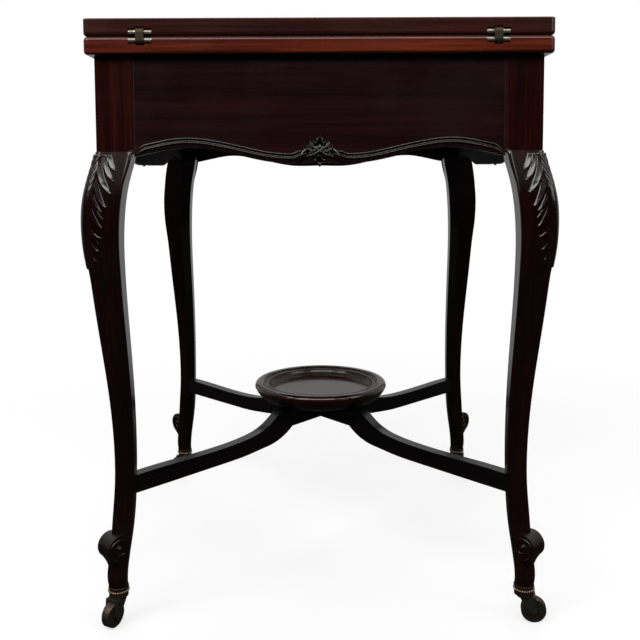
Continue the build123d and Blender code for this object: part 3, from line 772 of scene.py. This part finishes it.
def joined(parts):
    """Several lots of points and faces as one."""
    points, faces = [], []
    for some_points, some_faces in parts:
        first = len(points)
        points += [tuple(point) for point in some_points]
        faces += [tuple(first + index for index in face) for face in some_faces]
    return points, faces


def tube(path, radii, sides=10):
    """Points and faces of a round bar along a path, with a radius for each of its places."""
    path = [Vector(place) for place in path]
    last = len(path) - 1
    points = []
    across = None
    for index, place in enumerate(path):
        along = (path[min(index + 1, last)] - path[max(index - 1, 0)]).normalized()
        across = along.orthogonal() if across is None else across - along * across.dot(along)
        across = across.normalized()
        beside = along.cross(across)
        for side in range(sides):
            turn = full_turn * side / sides
            offset = across * math.cos(turn) + beside * math.sin(turn)
            points.append(tuple(place + offset * radii[index]))
    return points, bar_faces(len(path), sides)


def smooth_step(x):
    """From 0 to 1 as x goes from 0 to 1, eased at both ends."""
    x = np.clip(x, 0, 1)
    return x * x * (3 - 2 * x)


def between_stops(share, stops):
    """A width read between stops of share and width."""
    places, widths = zip(*stops)
    return np.interp(share, places, widths)


def curve_distance(across, down, path):
    """Signed distance of each place from a path, and how far along the path it is, as a share."""
    best = np.full(across.shape, np.inf)
    along = np.zeros(across.shape)
    side = np.ones(across.shape)
    for index in range(len(path) - 1):
        ax, ay = path[index]
        dx, dy = path[index + 1][0] - ax, path[index + 1][1] - ay
        t = np.clip(((across - ax) * dx + (down - ay) * dy) / (dx * dx + dy * dy), 0, 1)
        gap = np.hypot(across - ax - t * dx, down - ay - t * dy)
        closer = gap < best
        best = np.where(closer, gap, best)
        along = np.where(closer, (index + t) / (len(path) - 1), along)
        side = np.where(closer, np.where(dx * (down - ay) > dy * (across - ax), 1.0, -1.0), side)
    return best * side, along


def leaf_relief(across, down, leaf):
    """Relief of one leaf: low on its upper side, rising to a ridge on its lower side."""
    start, bend, tip, half_width, rise = leaf
    path = []
    for t in np.linspace(0, 1, 17):
        near, middle, far = (1 - t) ** 2, 2 * t * (1 - t), t * t
        path.append([near * a + middle * b + far * c for a, b, c in zip(start, bend, tip)])
    gap, along = curve_distance(across, down, path)
    swell = 0.6 + 0.4 * smooth_step(along / 0.5)
    half = half_width * swell * (1 - 0.5 * smooth_step((along - 0.7) / 0.3))
    climb = np.clip((gap / half + 1) / 2, 0, 1)
    upper = smooth_step((gap + half) / 0.9)
    lower = np.sqrt(np.clip((half - gap) / 1.1, 0, 1))
    lift = 0.55 + 0.45 * smooth_step(along / 0.75)
    return upper * lower * rise * lift * (0.34 + 0.66 * climb ** 1.5)


def carving_relief(across, down):
    """Relief of the whole carving as a share of its rise.

    Across is the distance from the arris and down the depth below the carving's top, both in
    millimetres. Veins mark the ground at the top, and leaves rise over it.
    """
    share = down / down.max()
    ground = between_stops(share, ground_width_stops)
    relief = smooth_step((ground + 2.0 - across) / 5.0) * (0.52 + 0.16 * smooth_step((share - 0.1) / 0.3))
    veins = np.sin(full_turn * (down * 0.11 + across * 0.30)) * smooth_step((7.0 - across) / 3.0)
    relief = relief * (1 + 0.24 * veins * (1 - smooth_step((share - 0.12) / 0.25)))
    for leaf in knee_leaves:
        relief = np.maximum(relief, leaf_relief(across, down, leaf))
    edge_gap = between_stops(share, carving_width_stops) - across
    inside = smooth_step(edge_gap / 1.2) * smooth_step((down + 0.4) / 1.6)
    inside = inside * smooth_step((down.max() - down) / 3.0)
    return relief * inside


def knee_skin():
    """The back right knee's skin under the carving, as a grid.

    Gives each place and its normal, with its distance from the arris and its depth below the
    carving's top in millimetres.
    """
    tree = node_tree("leg_back_right")
    shape = (carving_rows, carving_columns)
    base = np.zeros((*shape, 3))
    normals = np.zeros((*shape, 3))
    across = np.zeros(shape)
    down = np.zeros(shape)
    for row, share in enumerate(np.linspace(0, 1, carving_rows)):
        height = carving_top + (carving_foot - carving_top) * share
        width = between_stops(share, carving_width_stops) * mm
        angles, spots, facing = [], [], []
        for angle in range(-knee_sweep, knee_sweep + 1):
            turn = math.radians(45 + angle)
            ray = Vector((math.cos(turn), math.sin(turn), 0))
            far = Vector((knee_line, knee_line, height)) + ray * knee_reach
            spot, normal = tree.ray_cast(far, -ray, knee_reach)[:2]
            if spot is not None:
                angles.append(angle)
                spots.append(tuple(spot))
                facing.append(tuple(normal))
        spots = np.array(spots)
        facing = np.array(facing)
        steps = np.r_[0, np.cumsum(np.linalg.norm(np.diff(spots, axis=0), axis=1))]
        arris = np.interp(0, angles, steps)
        wanted = np.linspace(-width, width, carving_columns)
        for axis in range(3):
            base[row, :, axis] = np.interp(wanted + arris, steps, spots[:, axis])
            normals[row, :, axis] = np.interp(wanted + arris, steps, facing[:, axis])
        across[row] = np.abs(wanted) / mm
        down[row] = share * (carving_top - carving_foot) / mm
    normals /= np.linalg.norm(normals, axis=2, keepdims=True)
    return base, normals, across, down


def knee_carvings(material):
    """The acanthus leaf over each knee, laid on the leg's own surface."""
    base, normals, across, down = knee_skin()
    relief = carving_relief(across, down)
    surface = base + normals * (relief[..., None] * carving_rise - carving_sink)
    back = base - normals * carving_back
    points = np.concatenate([surface.reshape(-1, 3), back.reshape(-1, 3)])
    count = carving_rows * carving_columns
    faces = grid_faces(carving_rows, carving_columns)
    faces += [tuple(count + index for index in face[::-1]) for face in faces]
    grid = np.arange(count).reshape(carving_rows, carving_columns)
    border = np.concatenate([grid[0], grid[1:, -1], grid[-1, -2::-1], grid[-2:0:-1, 0]]).tolist()
    for here, after in zip(border, border[1:] + border[:1]):
        faces.append((here, after, count + after, count + here))
    on_each_corner("knee_carving", points, faces, material)


def knee_ribs(material):
    """Two ribs that carry the aprons' beads down the inner arrises of each knee."""
    tree = node_tree("leg_back_right")
    places, radii = [], []
    for share in np.linspace(0, 1, rib_places):
        height = rib_top + (rib_foot - rib_top) * share
        start = Vector((face_ray_place, ray_reach, height))
        face = tree.ray_cast(start, Vector((0, -1, 0)), ray_reach)[0].y
        start = Vector((side_ray_start, face - side_ray_depth, height))
        side = tree.ray_cast(start, Vector((1, 0, 0)), ray_reach)[0].x
        places.append((side + rib_under_side, face - rib_under_face, height))
        radii.append(max(rib_tip_radius, rib_radius * (1 - smooth_step(share) ** 1.5)))
    parts = [tube(places, radii), tube([(y, x, z) for x, y, z in places], radii)]
    on_each_corner("knee_ribs", *joined(parts), material)


def apron_line():
    """Height of the back apron's lower edge at evenly spaced places along it."""
    tree = node_tree("apron_back")
    middle = (apron_low[1] + apron_high[1]) / 2
    reach = bead_high[0] - bead_gap
    places = np.linspace(-reach, reach, bead_places)
    heights = []
    for place in places:
        start = Vector((place, middle, ray_reach))
        heights.append(tree.ray_cast(start, Vector((0, 0, 1)), ray_reach)[0].z)
    return places, np.array(heights)


def bead_profile():
    """Outline of the bead's section from its lower edge to its top."""
    turns = np.radians(np.linspace(-75, 80, 9))
    lower, upper = (
        [(outward + radius * math.cos(turn), upward + radius * math.sin(turn)) for turn in turns]
        for outward, upward, radius in bead_reeds
    )
    return np.array([*bead_moulding, *lower, *bead_hollow, *upper, bead_top]) * mm


def bead_length(hand, places, heights):
    """Points and faces of the bead on one side of the flower, curled up where it starts."""
    slopes = np.gradient(heights, places)
    profile = bead_profile()
    chosen = [index for index in range(len(places)) if places[index] * hand > bead_start]
    points = []
    for index in chosen[::hand]:
        x, z = places[index], heights[index]
        curl = 1 - smooth_step((abs(x) - bead_start) / curl_length)
        lean = math.atan(slopes[index]) - hand * curl * curl_lean
        lift = curl ** 2 * curl_lift
        fade = smooth_step((places[-1] - abs(x)) / thin_length + 0.3)
        size = (1 + 0.12 * curl - 0.25 * curl ** 4) * fade
        for outward, upward in profile:
            points.append((
                x - math.sin(lean) * upward * size,
                apron_face + (outward * size * (1 + 0.6 * curl) if outward > 0 else outward),
                z + math.cos(lean) * upward * size + lift,
            ))
    return points, bar_faces(len(chosen), len(profile))


def bead_mouldings(material):
    """The moulded bead along each apron, in two lengths that curl up at the flower."""
    places, heights = apron_line()
    parts = [bead_length(hand, places, heights) for hand in (-1, 1)]
    on_each_side("bead_moulding", *joined(parts), material, "bead")


def flower_leaf(leaf, heart):
    """Points and faces of one hollowed leaf, laid round the flower's heart."""
    angle, start, length, half_width, rise, bend, widest = leaf
    back = flower_leaf_back
    points = []
    for t in np.linspace(0, 1, flower_leaf_rows):
        swell = t / widest if t < widest else (1 - t) / (1 - widest)
        width = half_width * (0.16 + 0.84 * math.sqrt(max(0.0, 1 - (1 - min(1, swell)) ** 2)))
        if t > 0.97:
            width *= 0.45
        ridge = rise * (0.45 + 0.55 * math.sin(math.pi * min(1, 0.1 + t * 0.75)))
        hollow = 0.62 * smooth_step(t * 3) * smooth_step((1 - t) * 6)
        for s in np.linspace(-1, 1, flower_leaf_columns):
            wall = smooth_step((1 - abs(s)) * 5)
            bowl = 1 - hollow * (1 - smooth_step((abs(s) - 0.1) / 0.62))
            vein = 0.16 * math.exp(-(s / 0.12) ** 2)
            points.append((start + t * length, back + ridge * wall * (bowl + vein), s * width + bend * t * t))
        for s in np.linspace(1, -1, flower_leaf_columns)[1:-1]:
            points.append((start + t * length, back, s * width + bend * t * t))
    turn = math.radians(angle)
    placed = [
        (
            (x * math.cos(turn) - z * math.sin(turn)) * mm,
            apron_face + y * mm,
            heart + (x * math.sin(turn) + z * math.cos(turn)) * mm,
        )
        for x, y, z in points
    ]
    return placed, bar_faces(flower_leaf_rows, 2 * flower_leaf_columns - 2)


def crossed_rib(angle, heart):
    """One of the ribs that cross over the flower's heart."""
    turn = math.radians(angle)
    path, radii = [], []
    for t in np.linspace(0, 1, 14):
        reach = cross_length * t
        out = apron_face + cross_height - cross_fall * t * t
        path.append((reach * math.cos(turn), out, heart + reach * math.sin(turn)))
        radii.append(cross_radius - cross_taper * t ** 3)
    return tube(path, radii)


def side_curl_bar(hand, heart):
    """The smooth curl on one side of the flower."""
    stops = np.array(side_curl) * mm
    path, radii = [], []
    for t in np.linspace(0, len(stops) - 1, 25):
        sideways, upward, radius = (np.interp(t, range(len(stops)), column) for column in stops.T)
        path.append((hand * sideways, apron_face + side_curl_height, heart + upward))
        radii.append(radius)
    return tube(path, radii, 16)


def flowers(material):
    """The carved flower at the middle of each apron."""
    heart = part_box("flower_back")[0][2] + flower_heart
    parts = [flower_leaf(leaf, heart) for leaf in flower_leaves]
    parts += [crossed_rib(angle, heart) for angle in cross_angles]
    parts += [side_curl_bar(hand, heart) for hand in (-1, 1)]
    on_each_side("flower_carving", *joined(parts), material, "flower")


def volute(hand):
    """The winding bar on one end of a foot's scroll."""
    path, radii = [], []
    for t in np.linspace(0, 1, volute_places):
        turn = math.radians(volute_start + volute_winding * t)
        reach = (scroll_radius - volute_margin) * (1 - 0.80 * t ** 0.9)
        side = hand * (scroll_half_length - volute_sunk)
        path.append((reach * math.cos(turn), side, reach * math.sin(turn)))
        radii.append(volute_radius - volute_taper * t)
    return tube(path, radii, 8)


def volute_eye(hand):
    """The round eye in the middle of a volute."""
    points = []
    for turn in np.linspace(0, 0.98 * math.pi / 2, eye_rows):
        for side in range(eye_sides):
            around = full_turn * side / eye_sides
            reach = eye_radius * math.cos(turn)
            points.append((
                reach * math.cos(around),
                hand * (scroll_half_length - eye_sunk + eye_rise * math.sin(turn)),
                reach * math.sin(around),
            ))
    return points, bar_faces(eye_rows, eye_sides)


def foot_volutes(material):
    """Volutes with their eyes on both ends of each foot's scroll."""
    parts = []
    for hand in (-1, 1):
        parts += [volute(hand), volute_eye(hand)]
    points, faces = joined(parts)
    along, beside, up = np.array(points).T
    along = along + scroll_place * math.sqrt(2)
    diagonal = math.sqrt(0.5)
    placed = np.stack([(along - beside) * diagonal, (along + beside) * diagonal, up + scroll_height], axis=1)
    on_each_corner("foot_volutes", placed, faces, material)


def dish_fillets(material):
    """Thin fillets turned on the dish's rim."""
    tree = node_tree("dish")
    parts = []
    for reach, thick in dish_fillet_sizes:
        start = Vector((reach, 0, ray_reach))
        seat = tree.ray_cast(start, Vector((0, 0, -1)), ray_reach)[0].z
        points = []
        for column in range(fillet_columns):
            around = full_turn * column / fillet_columns
            for side in range(fillet_sides):
                turn = full_turn * side / fillet_sides
                out = reach + thick * math.cos(turn)
                points.append((out * math.cos(around), out * math.sin(around), seat + thick * math.sin(turn)))
        closing = grid_faces(fillet_columns + 1, fillet_sides, True)
        faces = [tuple(index % len(points) for index in face) for face in closing]
        parts.append((points, faces))
    new_piece("dish_fillets", *joined(parts), material)


def bead_ring_tree(material):
    """A geometry tree that sets small balls round a circle."""
    tree = bpy.data.node_groups.new("ring_of_beads", "GeometryNodeTree")
    face = tree.interface
    face.new_socket("Geometry", in_out="INPUT", socket_type="NodeSocketGeometry")
    count = face.new_socket("Count", in_out="INPUT", socket_type="NodeSocketInt")
    reach = face.new_socket("Ring radius", in_out="INPUT", socket_type="NodeSocketFloat")
    ball = face.new_socket("Bead radius", in_out="INPUT", socket_type="NodeSocketFloat")
    face.new_socket("Geometry", in_out="OUTPUT", socket_type="NodeSocketGeometry")
    given = tree.nodes.new("NodeGroupInput")
    ring = tree.nodes.new("GeometryNodeMeshCircle")
    ico = tree.nodes.new("GeometryNodeMeshIcoSphere")
    spread = tree.nodes.new("GeometryNodeInstanceOnPoints")
    whole = tree.nodes.new("GeometryNodeRealizeInstances")
    smooth = tree.nodes.new("GeometryNodeSetShadeSmooth")
    paint = tree.nodes.new("GeometryNodeSetMaterial")
    result = tree.nodes.new("NodeGroupOutput")
    ico.inputs["Subdivisions"].default_value = 2
    paint.inputs["Material"].default_value = material
    for source, output, target, entry in (
        (given, "Count", ring, "Vertices"), (given, "Ring radius", ring, "Radius"),
        (given, "Bead radius", ico, "Radius"), (ring, "Mesh", spread, "Points"),
        (ico, "Mesh", spread, "Instance"), (spread, "Instances", whole, "Geometry"),
        (whole, "Geometry", smooth, "Geometry"), (smooth, "Geometry", paint, "Geometry"),
        (paint, "Geometry", result, "Geometry"),
    ):
        tree.links.new(source.outputs[output], target.inputs[entry])
    inputs = {
        count.identifier: cup_bead_count,
        reach.identifier: cup_ring_radius,
        ball.identifier: cup_bead_radius,
    }
    return tree, inputs


def cup_beads(material):
    """A ring of brass beads round each castor cup."""
    tree, inputs = bead_ring_tree(material)
    for turns, corner in enumerate(corner_names):
        carrier = bpy.data.objects.new("carrier", bpy.data.meshes.new("carrier"))
        bpy.context.scene.collection.objects.link(carrier)
        change = carrier.modifiers.new("beads", "NODES")
        change.node_group = tree
        for socket, content in inputs.items():
            change[socket] = content
        bpy.context.view_layer.update()
        ready = carrier.evaluated_get(bpy.context.evaluated_depsgraph_get())
        mesh = bpy.data.meshes.new_from_object(ready)
        bpy.data.objects.remove(carrier)
        place = quarter((castor_place, castor_place, cup_bead_height), turns)
        mesh.transform(Matrix.Translation(place))
        if not mesh.materials:
            mesh.materials.append(material)
        place_piece(f"cup_beads_{corner}", mesh, "frame")


def lay_cloth(node, body, material):
    """A cloth with soft edges in place of a node, laid on its support."""
    mesh = nodes[node].data.copy()
    mesh.name = node + "_cloth"
    work = bmesh.new()
    work.from_mesh(mesh)
    bmesh.ops.remove_doubles(work, verts=work.verts, dist=1e-6)
    bmesh.ops.dissolve_limit(work, angle_limit=0.01, verts=work.verts, edges=work.edges)
    bmesh.ops.bevel(work, geom=list(work.edges), offset=cloth_edge, segments=2, affect="EDGES")
    bmesh.ops.recalc_face_normals(work, faces=work.faces)
    work.to_mesh(mesh)
    work.free()
    mesh.materials.clear()
    mesh.materials.append(material)
    cloth = place_piece(node + "_cloth", mesh, body, node)


def lay_cloths(material):
    """The cloth let into the board and into the underside of each leaf, which is a triangle."""
    lay_cloth("playing_baize", "top", material)
    for side in side_names:
        lay_cloth(f"leaf_baize_{side}", f"leaf_{side}", material)


set_camera()
hang_lamps()
white_world()
pale_floor()
finishes = {**wood_finishes(), **metal_finishes()}
dress_frame(finishes)
knee_carvings(finishes["carved"])
knee_ribs(finishes["carved"])
foot_volutes(finishes["carved"])
cup_beads(finishes["bead"])
bead_mouldings(finishes["carved"])
flowers(finishes["flower"])
lay_cloths(baize("green_baize"))
dish_fillets(finishes["dish"])
